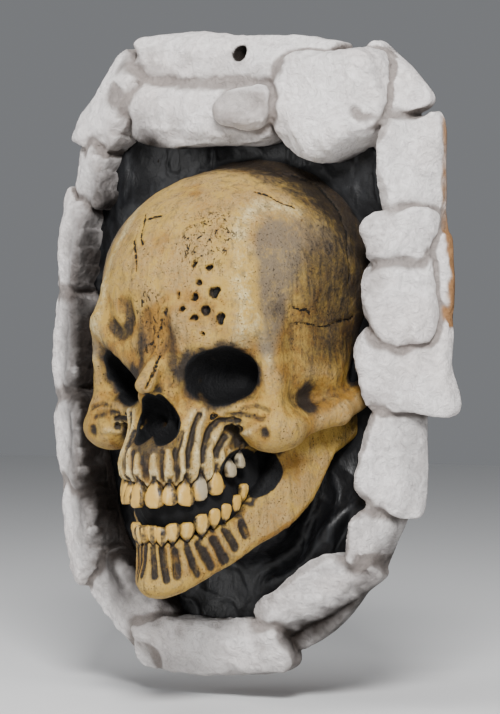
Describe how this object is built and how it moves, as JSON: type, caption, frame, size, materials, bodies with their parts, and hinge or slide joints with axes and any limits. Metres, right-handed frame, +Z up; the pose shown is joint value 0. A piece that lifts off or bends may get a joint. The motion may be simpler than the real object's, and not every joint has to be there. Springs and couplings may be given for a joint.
{
  "type": "skull wall plaque",
  "caption": "Cast wall plaque: a large skull with an open, toothed mouth bursts out of a dark hollow in a ring of broken plaster stones.",
  "frame": {"origin": "middle of the flat back, on the skull's own centre line, where the plaque lies against the wall", "axes": "+X to the viewer's right, +Y into the wall, +Z up; the skull looks along -Y"},
  "size_m": [0.3329, 0.1597, 0.4705],
  "materials": {
    "painted_latex": "matte off-white plaster paint on a cast latex skin",
    "bone_paint": "satin yellow bone paint with dark washes in the hollows",
    "black_paint": "satin black paint"
  },
  "bodies": {
    "root": {"skull_plaque": "painted_latex"}
  },
  "joints": []
}
